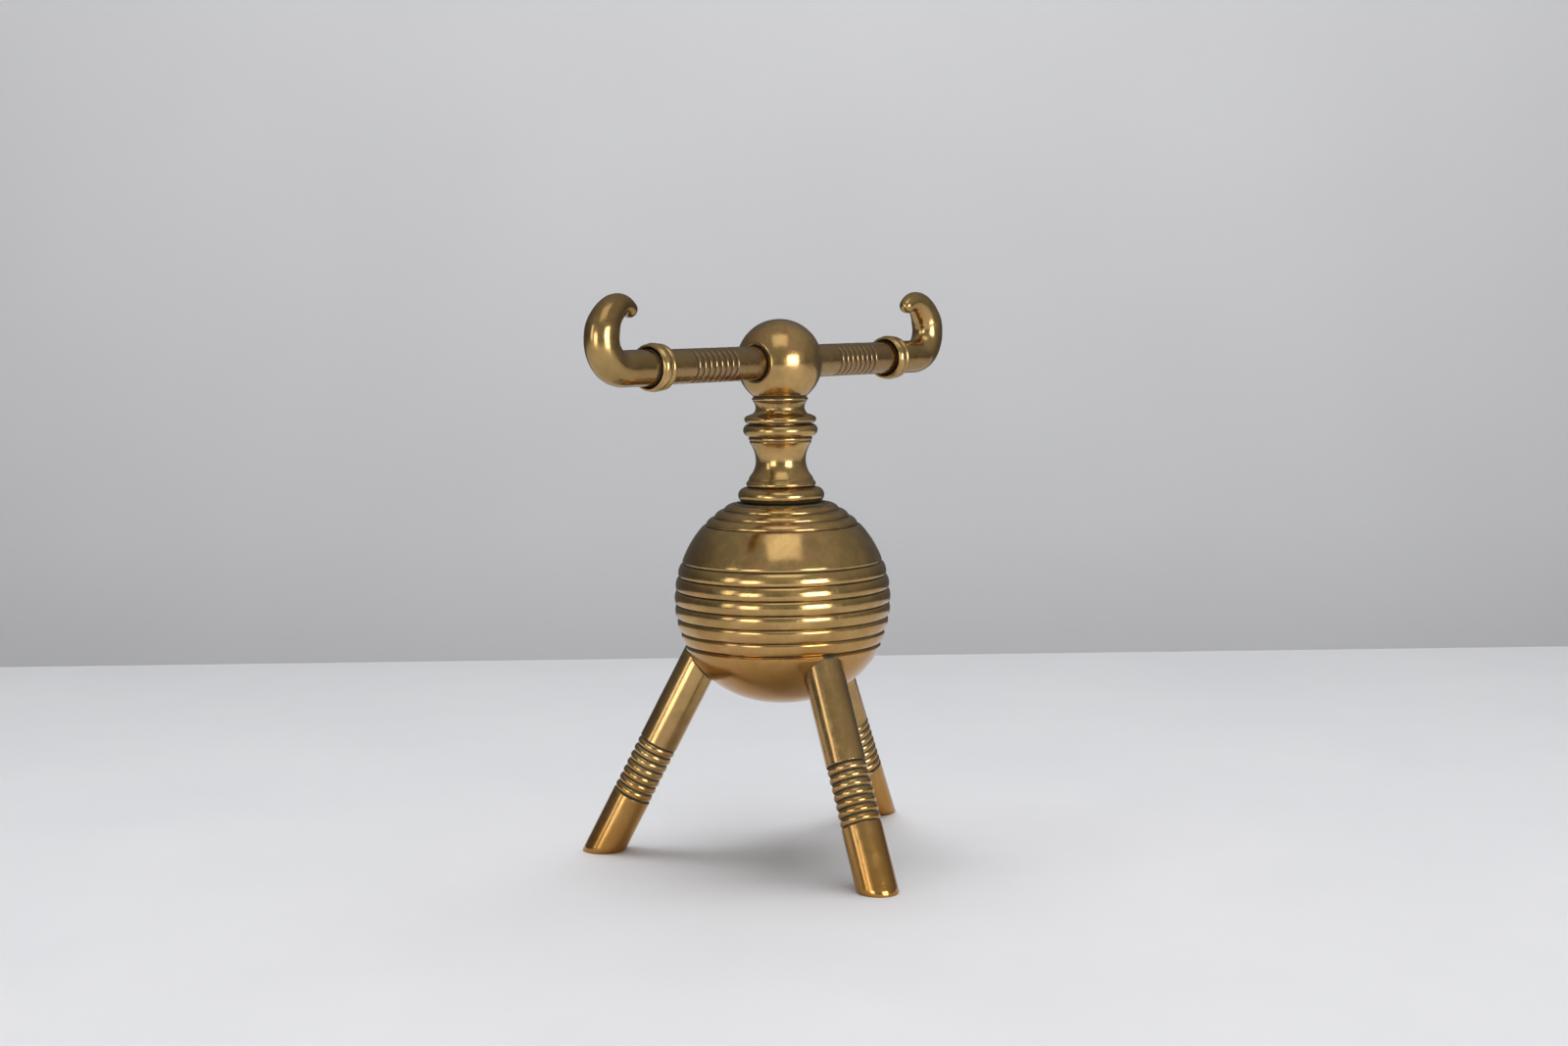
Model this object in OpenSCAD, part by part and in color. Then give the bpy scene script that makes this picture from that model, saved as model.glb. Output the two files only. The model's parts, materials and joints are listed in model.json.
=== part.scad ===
// Table-top string winder: a reeded hollow ball on three splayed legs carries a turned neck, and a
// T-shaped head with two upturned horns turns freely on top of it.
// Millimetres. +Z is up. The origin lies on the table, under the axis that the head turns about.
// +X points to leg A; the cross-bar rests turned by head_rest from the X axis.

/* [Ball] */
// Height of the ball's centre above the table
ball_z = 86; // [78:0.5:110]
// Radius of the upper half's plain skin
ball_r = 35.4; // [33.5:0.1:42]
// Thickness of the shell at the plain upper skin
shell_wall = 2.8; // [2.4:0.1:4]
// How far off the axis the lower half's arc is centred
belly_out = 3; // [1:0.1:4]
// How far below the ball's centre that arc is centred
belly_drop = 2; // [0.5:0.1:2.6]
// How much smaller that arc's radius is than the ball's
belly_less = 2.5; // [1.5:0.1:2.6]
// How far below the full ball's top the flat under the neck lies
crown_cut = 4; // [3.6:0.1:4.4]

/* [Ball reeds] */
// Reeds round the middle
band_count = 6; // [2:2:8]
// Latitude of the lowest groove of the middle band, degrees
band_low = -25.8; // [-27:0.1:-20]
// Reed pitch round the middle, degrees
band_pitch = 7.55; // [5:0.05:8]
// How much wider the middle band is at its foot
band_flare = 0.5; // [0:0.1:0.8]
// Reeds round the crown
crown_count = 3; // [1:1:3]
// Latitude of the lowest crown groove, degrees
crown_low = 43.6; // [42:0.1:46]
// Reed pitch round the crown, degrees
crown_pitch = 6.5; // [4:0.05:6.7]
// Height of a reed above its grooves
reed_relief = 1; // [0.5:0.05:1.2]
// How far a reed's crest stands above the plain skin
reed_proud = 0.3; // [0:0.05:0.5]
// Width of the rounded shoulder beside an end groove, degrees
shoulder = 1.6; // [0.8:0.1:2.5]

/* [Shell joint] */
// Radial thickness of the ring inside the seam
ring_wall = 2; // [1.5:0.1:3]
// Height of that ring
ring_h = 10; // [7:0.5:13]
// Depth of the turned land that the ring sits in
land_depth = 0.8; // [0.4:0.1:1]

/* [Legs] */
// Distance from the axis to a leg's own axis at the height of the ball's centre
leg_inset = 16.6; // [14:0.1:18]
// Lean of a leg from the vertical, degrees
leg_tilt = 27.6; // [25:0.1:30]
// Leg diameter
leg_d = 13.1; // [10:0.1:13.6]
// Reeds on a leg
leg_reeds = 7; // [3:1:9]
// Reed pitch on a leg
leg_reed_pitch = 2.8; // [2:0.05:3]
// Height of the lowest leg groove, measured along the leg
leg_reed_start = 21.6; // [15:0.1:28]
// Depth of a leg groove
leg_reed_depth = 0.7; // [0.3:0.05:1]

/* [Leg fixings] */
// Stud diameter
stud_d = 5; // [4:0.5:6]
// Depth of the stud in the leg
stud_grip = 14; // [8:0.5:20]
// Saddle washer diameter
saddle_d = 12; // [9:0.5:13]
// Thinnest part of a saddle washer
saddle_min = 1.6; // [1:0.1:3]
// Leg nut, across its flats
leg_nut_af = 9; // [8:0.5:10]
// Leg nut thickness
leg_nut_h = 4; // [3:0.5:6]

/* [Neck] */
// Largest diameter of the foot bead
neck_foot_d = 28.6; // [25:0.1:30]
// Diameter of the waist
neck_waist_d = 16.6; // [14:0.1:18]
// Height of the neck above its seat
neck_h = 26; // [25:0.1:32]
// Largest diameter of the top bead
neck_top_d = 24.7; // [23:0.1:26]
// Diameter of the threaded stem below the neck
stem_d = 10; // [9:0.1:11]
// How far the stem reaches below the seat
stem_len = 11.4; // [10.5:0.1:14]
// Thickness of the shell's crown under the neck
crown_wall = 3; // [2.5:0.1:4]
// Neck nut, across its flats
neck_nut_af = 15; // [14:0.5:17]
// Neck nut thickness
neck_nut_h = 5; // [4:0.5:6]
// Thickness of the neck's and the spindle's washers
washer_h = 1.2; // [0.8:0.1:1.5]

/* [Spindle] */
// Spindle diameter
spindle_d = 6; // [5:0.1:6.5]
// Thrust washer diameter
thrust_d = 16; // [12:0.5:19]
// Thrust washer thickness
thrust_h = 0.35; // [0.3:0.05:0.6]
// Spindle nut, across its flats
spindle_nut_af = 9; // [8:0.5:11]
// Spindle nut thickness
spindle_nut_h = 4; // [3:0.5:5]

/* [Head] */
// Radius of the head ball
head_ball_r = 14.2; // [13:0.1:17]
// Depth of the flat cut on the ball where each arm enters
port_cut = 1.8; // [1.4:0.1:2.2]
// Diameter of the flange at the head's foot
flange_d = 23.8; // [22:0.1:25]
// Diameter of the socket's waist
socket_waist_d = 16.2; // [14:0.1:17]
// Diameter of the spigot that holds the head ball on the socket
spigot_d = 10; // [9:0.5:12]
// Distance from the cross-bar's axis down to the spigot's top
spigot_drop = 6.5; // [6:0.5:8]
// Turn of the cross-bar from the X axis at rest, degrees
head_rest = -7.5; // [-180:0.5:180]

/* [Cross-bar] */
// Arm tube diameter
arm_d = 11; // [10:0.1:12]
// Arm tube bore
arm_bore = 7.2; // [6:0.1:8]
// Distance from the axis to an arm's outer end
arm_reach = 60; // [56:0.5:80]
// How deep an arm sits in the head ball
arm_grip = 3.4; // [2:0.1:4]
// Reeds on an arm
arm_reeds = 7; // [3:1:9]
// Reed pitch on an arm
arm_reed_pitch = 2.63; // [2:0.01:2.8]
// Distance from the axis to the first arm groove
arm_reed_start = 26.9; // [20:0.1:30]
// Depth of an arm groove
arm_reed_depth = 0.35; // [0.2:0.05:0.6]
// Tie rod diameter
tie_d = 5; // [4:0.1:5.6]
// Thickness left at the end of the tie rod's hole in a horn
tie_cover = 4; // [3:0.5:6]

/* [Collars] */
// Collar length
collar_len = 6.2; // [5.5:0.1:7]
// Largest collar diameter
collar_d = 15.2; // [14.6:0.1:17]

/* [Horns] */
// Horn stem diameter
horn_d = 11.4; // [10:0.1:12]
// Straight length of the horn beyond the arm
horn_stem = 14.2; // [12:0.1:20]
// Radius of the first, second and last bends
horn_bend_r = [8.65, 10.9, 6.2];
// Angle of the first, second and last bends, degrees
horn_bend_a = [82, 66, 68];
// Horn diameter where the taper begins
horn_mid_d = 10.7; // [9.5:0.1:11]
// Diameter of the horn's rounded tip
horn_tip_d = 5.3; // [4:0.1:7]

/* [Fits] */
// Radial clearance between the spindle and the neck
run_fit = 0.05; // [0.02:0.01:0.1]
// Gap at each face that turns against another
face_gap = 0.05; // [0.03:0.01:0.1]
// Radial clearance of a bolt or stem in its hole
bolt_fit = 0.1; // [0.05:0.05:0.3]

/* [Hidden] */
$fn = 96;
ARC_STEPS = 10;
BELLY_STEPS = 24;
REED_STEPS = 8;
HORN_STEP = 8;
HORN_SIDES = 24;
CUT = 200;
LEG_COUNT = 3;

// Inner height of the ring's seat in the socket, and the radius where it meets the head ball
CUP_H = 8.8;
CUP_EDGE = 0.35;
SHOULDER_DIP = 0.12;
SEAT_EDGE = 0.6;
SLACK = 0.02;

belly_r = ball_r - belly_less;
hollow_r = ball_r - shell_wall;
band_top = band_low + band_count * band_pitch;
seam_lat = band_low + band_count / 2 * band_pitch;
crown_top = crown_low + crown_count * crown_pitch;
seat_rel = ball_r - crown_cut;
seat_z = ball_z + seat_rel;
ceiling_rel = seat_rel - crown_wall;
land_r = hollow_r + land_depth;
foot_radius = leg_inset + ball_z * tan(leg_tilt);
stem_end_z = seat_z - stem_len;
neck_top_z = seat_z + neck_h;
head_z = neck_top_z + thrust_h + face_gap;
cup_r = socket_waist_d / 2 + 0.8;
bar_rise = round(10 * (CUP_H + sqrt(pow(head_ball_r, 2) - pow(cup_r, 2)))) / 10;
bar_z = head_z + bar_rise;
spigot_top = bar_rise - spigot_drop;
port_flat = head_ball_r - port_cut;
arm_root = port_flat - arm_grip;
horn_start = arm_reach + horn_stem;
tie_end = horn_start - tie_cover;
spindle_washer_z = stem_end_z - face_gap - washer_h;
spindle_nut_z = spindle_washer_z - spindle_nut_h;
locknut_h = 0.75 * spindle_nut_h;
spindle_end_z = spindle_nut_z - locknut_h - 1;

seam_rel = (band_skin(seam_lat) + reed_proud - reed_relief) * sin(seam_lat);

BRASS = [0.62, 0.46, 0.20];
BRASS_DARK = [0.50, 0.36, 0.16];
BRASS_LIGHT = [0.70, 0.54, 0.27];
STEEL = [0.45, 0.45, 0.46];

// ---- outlines -------------------------------------------------------------------------------

// Points of an arc about centre c, from angle a0 to angle a1
function arc(c, r, a0, a1, n = ARC_STEPS) =
    [for (i = [0:n]) let (a = a0 + (a1 - a0) * i / n) [c[0] + r * cos(a), c[1] + r * sin(a)]];

// A point at distance r and latitude a from the ball's centre
function polar(r, a) = [r * cos(a), r * sin(a)];

// Distance from the ball's centre to the lower half's arc at latitude a
function belly_skin(a) =
    let (along = belly_out * cos(a) - belly_drop * sin(a))
    along + sqrt(pow(belly_r, 2) - pow(belly_out, 2) - pow(belly_drop, 2) + pow(along, 2));

// Distance from the ball's centre to the skin at latitude a, above the lowest groove
function band_skin(a) =
    ball_r + band_flare * max(0, band_top - a) / (band_top - band_low);

// Outline of a run of reeds, groove to groove
function reeds(low, pitch, count, proud = reed_proud) =
    [for (i = [0:count * REED_STEPS])
        let (a = low + pitch * i / REED_STEPS,
             across = 2 * (i % REED_STEPS) / REED_STEPS - 1)
        polar(band_skin(a) + proud - reed_relief * pow(across, 2), a)];

// Plain lower skin, from the bottom up to the rounded shoulder under the lowest groove
function belly_arc() =
    let (last = band_low - shoulder)
    [for (i = [0:BELLY_STEPS]) let (a = -90 + (last + 90) * i / BELLY_STEPS) polar(belly_skin(a), a)];

// Plain upper skin, between the middle band and the crown, with rounded shoulders
function zone_outline() =
    let (low = band_top + shoulder, high = crown_low - shoulder)
    concat([polar(ball_r - reed_relief * SHOULDER_DIP, band_top + shoulder / 2)],
           [for (i = [0:ARC_STEPS]) let (a = low + (high - low) * i / ARC_STEPS) polar(ball_r, a)],
           [polar(ball_r - reed_relief * SHOULDER_DIP, crown_low - shoulder / 2)]);

// Outline of a bead between two stations along a turned piece: [radius, station]
function bead(x0, x1, base, crest) =
    [for (i = [0:REED_STEPS])
        let (u = i / REED_STEPS)
        [base + (crest - base) * (1 - pow(2 * u - 1, 2)), x0 + (x1 - x0) * u]];

// ---- placing --------------------------------------------------------------------------------

// Puts a leg's own axis, with its foot's centre at zero, in place i of three
module on_leg(i) {
    rotate([0, 0, i * 360 / LEG_COUNT])
        translate([foot_radius, 0, 0])
            rotate([0, -leg_tilt, 0])
                children();
}

// Puts the cross-bar's frame in place: X along the bar, the origin where it crosses the axis
module on_bar() {
    translate([0, 0, bar_z])
        rotate([0, 0, head_rest])
            children();
}

// Lays a turned piece along the bar
module along_bar() {
    rotate([0, 90, 0])
        children();
}

// Where a leg's axis, u to one side of it, crosses a sphere of radius r round the ball's centre
function leg_station(r, u = 0) =
    let (x = foot_radius + u * cos(leg_tilt),
         z = u * sin(leg_tilt) - ball_z,
         b = x * sin(leg_tilt) - z * cos(leg_tilt))
    b - sqrt(pow(b, 2) - pow(x, 2) - pow(z, 2) + pow(r, 2));

saddle_top = leg_station(hollow_r, saddle_d / 2) + saddle_min;
stud_low = leg_station(ball_r) - stud_grip;
stud_top = saddle_top + leg_nut_h + 2;

// ---- common fixings -------------------------------------------------------------------------

module washer(outer_d, hole_r, h) {
    rotate_extrude()
        translate([hole_r, 0])
            square([outer_d / 2 - hole_r, h]);
}

module hex_nut(af, hole_r, h) {
    difference() {
        cylinder(d = af / cos(30), h = h, $fn = 6);
        translate([0, 0, -1])
            cylinder(r = hole_r, h = h + 2);
    }
}

// ---- ball -----------------------------------------------------------------------------------

// Outlines of the ball's halves, closed to the axis at the seam
function upper_outline() =
    let (groove = polar(band_skin(crown_top) + reed_proud - reed_relief, crown_top))
    concat([[0, seam_rel]],
           reeds(seam_lat, band_pitch, band_count / 2),
           zone_outline(),
           reeds(crown_low, crown_pitch, crown_count),
           [[groove[0] - SEAT_EDGE, seat_rel],
            [0, seat_rel]]);

function lower_outline() =
    let (edge = band_low - shoulder / 2)
    concat(belly_arc(),
           [polar(belly_skin(edge) - reed_relief * SHOULDER_DIP, edge)],
           reeds(band_low, band_pitch, band_count / 2),
           [[0, seam_rel]]);

// The plain lower skin carried on past the grooves: the shape that the top of a leg is cut to
function cope_outline() =
    let (past = polar(belly_skin(band_low), band_low))
    concat(belly_arc(),
           [past,
            [past[0], 0],
            [0, 0]]);

// The round hollow, with the turned land that the joint ring sits in
module hollow() {
    sphere(r = hollow_r);
    translate([0, 0, seam_rel - ring_h / 2])
        cylinder(r = land_r, h = ring_h);
}

module ball_upper_shell() {
    color(BRASS)
        translate([0, 0, ball_z])
            difference() {
                rotate_extrude()
                    polygon(upper_outline());
                difference() {
                    hollow();
                    translate([-CUT / 2, -CUT / 2, ceiling_rel])
                        cube(CUT);
                }
                cylinder(d = stem_d + 2 * bolt_fit, h = CUT);
            }
}

module ball_lower_shell() {
    color(BRASS)
        difference() {
            translate([0, 0, ball_z])
                difference() {
                    rotate_extrude()
                        polygon(lower_outline());
                    hollow();
                }
            for (i = [0:LEG_COUNT - 1])
                on_leg(i)
                    cylinder(d = stud_d + 2 * bolt_fit, h = stud_top);
        }
}

module ball_joint_ring() {
    color(BRASS_DARK)
        translate([0, 0, ball_z + seam_rel - ring_h / 2])
            washer(2 * land_r, land_r - ring_wall, ring_h);
}

// ---- legs -----------------------------------------------------------------------------------

module leg(i) {
    r = leg_d / 2;
    run = [for (k = [0:leg_reeds * REED_STEPS])
        let (across = 2 * (k % REED_STEPS) / REED_STEPS - 1)
        [r - leg_reed_depth * pow(across, 2), leg_reed_start + leg_reed_pitch * k / REED_STEPS]];
    edge = 0.3;
    reed_end = leg_reed_start + leg_reeds * leg_reed_pitch;
    outline = concat([[0, -leg_d], [r, -leg_d], [r, leg_reed_start - edge]],
                     run,
                     [[r, reed_end + edge], [r, stud_top], [0, stud_top]]);
    color(BRASS)
        difference() {
            on_leg(i)
                rotate_extrude()
                    polygon(outline);
            translate([0, 0, -CUT / 2])
                cube(CUT, center = true);
            translate([0, 0, ball_z])
                rotate_extrude()
                    polygon(cope_outline());
            on_leg(i)
                translate([0, 0, stud_low])
                    cylinder(d = stud_d, h = CUT);
        }
}

module leg_stud(i) {
    color(STEEL)
        on_leg(i)
            translate([0, 0, stud_low])
                cylinder(d = stud_d, h = stud_top - stud_low);
}

// Tapered washer: one face fits the round inside of the ball, the other is square to the stud
module leg_saddle(i) {
    color(BRASS_DARK)
        intersection() {
            on_leg(i)
                translate([0, 0, stud_low])
                    washer(saddle_d, stud_d / 2 + bolt_fit, saddle_top - stud_low);
            translate([0, 0, ball_z])
                sphere(r = hollow_r);
        }
}

module leg_nut(i) {
    color(STEEL)
        on_leg(i)
            translate([0, 0, saddle_top])
                hex_nut(leg_nut_af, stud_d / 2, leg_nut_h);
}

// ---- neck -----------------------------------------------------------------------------------

module neck_column() {
    foot_bead = 2.5;
    top_bead = 2;
    waist_r = neck_waist_d / 2;
    waist_z = 14;
    lower_sweep = 8;
    upper_sweep = neck_h - waist_z - 2;
    outline = concat(
        [[spindle_d / 2 + run_fit, -stem_len],
         [stem_d / 2, -stem_len],
         [stem_d / 2, 0]],
        arc([neck_foot_d / 2 - foot_bead, foot_bead], foot_bead, -90, 78),
        bead(2 * foot_bead + 0.35, 2 * foot_bead + 2.25, waist_r + 2.5, waist_r + 3.2),
        arc([waist_r + lower_sweep, waist_z], lower_sweep, 225, 180),
        arc([waist_r + upper_sweep, waist_z], upper_sweep, 178, 143),
        bead(neck_h - 5.4, neck_h - 4.1, waist_r + 1.9, waist_r + 2.2),
        arc([neck_top_d / 2 - top_bead, neck_h - top_bead], top_bead, -80, 90),
        [[spindle_d / 2 + run_fit, neck_h]]);
    color(BRASS)
        translate([0, 0, seat_z])
            rotate_extrude()
                polygon(outline);
}

module neck_washer() {
    color(STEEL)
        translate([0, 0, seat_z - crown_wall - washer_h])
            washer(neck_nut_af + 3, stem_d / 2 + bolt_fit, washer_h);
}

module neck_nut() {
    color(STEEL)
        translate([0, 0, seat_z - crown_wall - washer_h - neck_nut_h])
            hex_nut(neck_nut_af, stem_d / 2, neck_nut_h);
}

module thrust_washer() {
    color(BRASS_DARK)
        translate([0, 0, neck_top_z])
            washer(thrust_d, spindle_d / 2 + run_fit, thrust_h);
}

// ---- spindle --------------------------------------------------------------------------------

module spindle() {
    top = head_z + spigot_top - 1;
    color(STEEL)
        translate([0, 0, spindle_end_z])
            cylinder(d = spindle_d, h = top - spindle_end_z);
}

module spindle_washer() {
    color(STEEL)
        translate([0, 0, spindle_washer_z])
            washer(spindle_nut_af + 2, spindle_d / 2, washer_h);
}

module spindle_nut() {
    color(STEEL)
        translate([0, 0, spindle_nut_z])
            hex_nut(spindle_nut_af, spindle_d / 2, spindle_nut_h);
}

module spindle_locknut() {
    color(STEEL)
        translate([0, 0, spindle_nut_z - locknut_h])
            rotate([0, 0, 17])
                hex_nut(spindle_nut_af, spindle_d / 2, locknut_h);
}

// ---- head -----------------------------------------------------------------------------------

module head_socket() {
    edge = 1.15;
    waist_r = socket_waist_d / 2;
    waist_z = 4.95;
    lower_sweep = 2.3;
    upper_sweep = 3.3;
    ring_r = cup_r + CUP_EDGE;
    outline = concat(
        [[spindle_d / 2, 0]],
        arc([flange_d / 2 - edge, edge], edge, -90, 80),
        arc([waist_r + lower_sweep, waist_z], lower_sweep, 268, 180),
        arc([waist_r + upper_sweep, waist_z], upper_sweep, 177, 138),
        bead(CUP_H - 1.55, CUP_H - 0.35, cup_r, ring_r),
        [[cup_r, CUP_H + 1],
         [spindle_d / 2, CUP_H + 1]]);
    color(BRASS_LIGHT)
        translate([0, 0, head_z])
            difference() {
                union() {
                    difference() {
                        rotate_extrude()
                            polygon(outline);
                        translate([0, 0, bar_rise])
                            sphere(r = head_ball_r);
                    }
                    translate([0, 0, 1])
                        cylinder(d = spigot_d, h = spigot_top - 1);
                }
                translate([0, 0, -1])
                    cylinder(d = spindle_d, h = spigot_top);
            }
}

module head_ball() {
    color(BRASS_LIGHT)
        on_bar()
            difference() {
                sphere(r = head_ball_r);
                for (side = [0, 180])
                    rotate([0, 0, side]) {
                        translate([port_flat, -CUT / 2, -CUT / 2])
                            cube(CUT);
                        translate([arm_root, 0, 0])
                            along_bar()
                                cylinder(d = arm_d, h = CUT);
                    }
                translate([-CUT / 2, 0, 0])
                    along_bar()
                        cylinder(d = tie_d + 2 * bolt_fit, h = CUT);
                translate([0, 0, -bar_rise])
                    cylinder(d = spigot_d, h = spigot_top);
            }
}

module tie_rod() {
    color(STEEL)
        on_bar()
            translate([-tie_end, 0, 0])
                along_bar()
                    cylinder(d = tie_d, h = 2 * tie_end);
}

// A reeded tube along +X
module arm() {
    r = arm_d / 2;
    groove_half = arm_reed_depth;
    grooves = [for (k = [0:arm_reeds], e = [-1, 0, 1])
        [r - (e == 0 ? arm_reed_depth : 0), arm_reed_start + k * arm_reed_pitch + e * groove_half]];
    outline = concat([[arm_bore / 2, arm_root], [r, arm_root]],
                     grooves,
                     [[r, arm_reach], [arm_bore / 2, arm_reach]]);
    color(BRASS)
        along_bar()
            rotate_extrude()
                polygon(outline);
}

module arm_left() {
    on_bar()
        rotate([0, 0, 180])
            arm();
}

module arm_right() {
    on_bar()
        arm();
}

// A three-bead collar over the joint, its dished lip towards -X. Both collars face the same way.
module collar(centre, lip_bore, ring_bore) {
    crest = collar_d / 2;
    outline = concat(
        bead(0, 0.85, crest - 0.8, crest - 0.4),
        bead(0.85, 4.05, crest - 0.75, crest),
        bead(4.05, collar_len, crest - 0.9, crest - 0.25),
        [[ring_bore / 2, collar_len],
         [ring_bore / 2, collar_len / 2],
         [lip_bore / 2, collar_len / 2],
         [lip_bore / 2, 1.3],
         [crest - 1.05, 0]]);
    color(BRASS_LIGHT)
        on_bar()
            translate([centre - collar_len / 2, 0, 0])
                along_bar()
                    rotate_extrude()
                        polygon(outline);
}

// ---- horns ----------------------------------------------------------------------------------

horn_turn = horn_bend_a[0] + horn_bend_a[1] + horn_bend_a[2];

// Heading and radius of curvature after turning by t degrees
function horn_r_at(t) =
    t < horn_bend_a[0] ? horn_bend_r[0] : t < horn_bend_a[0] + horn_bend_a[1] ? horn_bend_r[1] : horn_bend_r[2];

// Centre line of the curl: each entry is [x, z] after one more step of turning
function horn_path(t = 0, p = [0, 0]) =
    t >= horn_turn ? [p] :
    let (step = min(HORN_STEP, horn_turn - t),
         mid = t + step / 2,
         chord = 2 * horn_r_at(mid) * sin(step / 2))
    concat([p], horn_path(t + step, p + chord * [cos(mid), sin(mid)]));

// Half-thickness of the curl after turning by t degrees
function horn_half(t) =
    let (u = t / horn_turn)
    u < 0.5 ? (horn_d + (horn_mid_d - horn_d) * 2 * u) / 2
            : (horn_mid_d + (horn_tip_d - horn_mid_d) * (2 * u - 1)) / 2;

// One ring of the curl: centre [x, z], heading t, half-thickness r
function horn_ring(c, t, r) =
    [for (k = [0:HORN_SIDES - 1])
        let (a = 360 * k / HORN_SIDES)
        [c[0] - sin(t) * r * cos(a), r * sin(a), c[1] + cos(t) * r * cos(a)]];

module horn_curl() {
    path = horn_path();
    n = len(path);
    root = 0.6;
    body_rings = [for (i = [0:n - 1])
        let (t = min(i * HORN_STEP, horn_turn))
        horn_ring(path[i], t, horn_half(t) - (i == 0 ? SLACK : 0))];
    tip_r = horn_tip_d / 2;
    tip_rings = [for (e = [20:20:80])
        horn_ring(path[n - 1] + tip_r * sin(e) * [cos(horn_turn), sin(horn_turn)], horn_turn, tip_r * cos(e))];
    rings = concat([horn_ring([-root, 0], 0, horn_d / 2 - SLACK)], body_rings, tip_rings);
    m = len(rings);
    points = [for (ring = rings) for (p = ring) p];
    sides = [for (i = [0:m - 2], k = [0:HORN_SIDES - 1])
        let (j = (k + 1) % HORN_SIDES)
        [i * HORN_SIDES + k, i * HORN_SIDES + j, (i + 1) * HORN_SIDES + j, (i + 1) * HORN_SIDES + k]];
    root_cap = [for (k = [HORN_SIDES - 1:-1:0]) k];
    tip_cap = [for (k = [0:HORN_SIDES - 1]) (m - 1) * HORN_SIDES + k];
    polyhedron(points, concat([root_cap], sides, [tip_cap]));
}

module horn() {
    color(BRASS)
        difference() {
            union() {
                translate([arm_reach, 0, 0])
                    along_bar()
                        cylinder(d = horn_d, h = horn_stem);
                translate([horn_start, 0, 0])
                    horn_curl();
            }
            translate([arm_reach - 1, 0, 0])
                along_bar()
                    cylinder(d = tie_d, h = tie_end - arm_reach + 1);
        }
}

module horn_left() {
    on_bar()
        mirror([1, 0, 0])
            horn();
}

module horn_right() {
    on_bar()
        horn();
}

// ---- assembly -------------------------------------------------------------------------------

ball_upper_shell();
ball_lower_shell();
ball_joint_ring();
neck_column();
neck_washer();
neck_nut();
thrust_washer();
leg(0);  // leg_a
leg(1);  // leg_b
leg(2);  // leg_c
leg_stud(0);  // leg_stud_a
leg_stud(1);  // leg_stud_b
leg_stud(2);  // leg_stud_c
leg_saddle(0);  // leg_saddle_a
leg_saddle(1);  // leg_saddle_b
leg_saddle(2);  // leg_saddle_c
leg_nut(0);  // leg_nut_a
leg_nut(1);  // leg_nut_b
leg_nut(2);  // leg_nut_c
spindle();
spindle_washer();
spindle_nut();
spindle_locknut();
head_socket();
head_ball();
tie_rod();
arm_left();
arm_right();
collar(-arm_reach, horn_d, arm_d);  // collar_left
collar(arm_reach, arm_d, horn_d);  // collar_right
horn_left();
horn_right();
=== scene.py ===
"""Looks for the string winder: turned, handled brass on a pale cloth in soft studio light.

Outlines are in millimetres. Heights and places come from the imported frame.
"""

import json
import math

import bpy
import numpy as np
from mathutils import Matrix, Vector, noise


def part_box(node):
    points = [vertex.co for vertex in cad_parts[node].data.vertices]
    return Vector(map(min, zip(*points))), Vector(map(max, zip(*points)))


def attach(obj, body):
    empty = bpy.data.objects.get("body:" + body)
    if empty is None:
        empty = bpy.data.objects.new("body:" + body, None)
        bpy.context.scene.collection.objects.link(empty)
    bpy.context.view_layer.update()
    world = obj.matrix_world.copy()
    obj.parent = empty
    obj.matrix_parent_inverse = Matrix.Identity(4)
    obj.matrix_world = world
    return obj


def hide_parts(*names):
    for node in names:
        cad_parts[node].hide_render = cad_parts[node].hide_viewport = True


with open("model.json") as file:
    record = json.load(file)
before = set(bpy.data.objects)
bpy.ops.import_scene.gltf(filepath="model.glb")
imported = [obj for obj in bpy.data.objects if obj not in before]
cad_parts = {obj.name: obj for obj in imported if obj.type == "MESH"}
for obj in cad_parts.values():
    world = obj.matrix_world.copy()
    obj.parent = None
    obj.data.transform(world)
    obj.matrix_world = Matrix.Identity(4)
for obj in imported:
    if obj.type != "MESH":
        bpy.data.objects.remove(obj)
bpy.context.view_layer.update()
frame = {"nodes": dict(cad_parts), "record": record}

MM = 0.001
LEGS = ("a", "b", "c")

# ---- sizes that the outlines share, in millimetres ------------------------------------------

BALL_R = 35.4
SHELL_WALL = 2.8
CROWN_CUT = 4.0
BAND_LOW, BAND_PITCH, BAND_COUNT, BAND_FLARE = -25.8, 7.55, 6, 0.5
CROWN_LOW, CROWN_PITCH, CROWN_COUNT = 43.6, 6.5, 3
REED_RELIEF, REED_PROUD, CROWN_PROUD, SHOULDER = 0.95, 0.3, 0.05, 1.6
BELLY_OUT, BELLY_DROP, BELLY_R = 3.0, 2.0, 32.9
RING_HALF, LAND_DEPTH = 5.0, 0.8
LEG_R, LEG_TILT = 6.55, 27.6
LEG_REEDS, LEG_REED_PITCH, LEG_REED_START, LEG_REED_DEPTH = 7, 2.8, 21.6, 0.7
HEAD_R, PORT_CUT, ARM_GRIP = 14.2, 1.8, 3.4
ARM_R, ARM_BORE_R, TIE_R = 5.5, 3.6, 2.5
ARM_REEDS, ARM_REED_PITCH, ARM_REED_START, ARM_REED_DEPTH = 7, 2.63, 26.9, 0.35
HORN_R, HORN_STEM = 5.7, 14.2
HORN_BENDS = ((8.65, 82.0), (10.9, 66.0), (6.2, 68.0))
HORN_MID_R, HORN_TIP_R = 5.35, 2.65
SPINDLE_R, RUN_FIT = 3.0, 0.05
SOCKET_WAIST_R, CUP_H = 8.1, 8.8
SHOULDER_DIP, SEAT_EDGE = 0.12, 0.6

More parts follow.
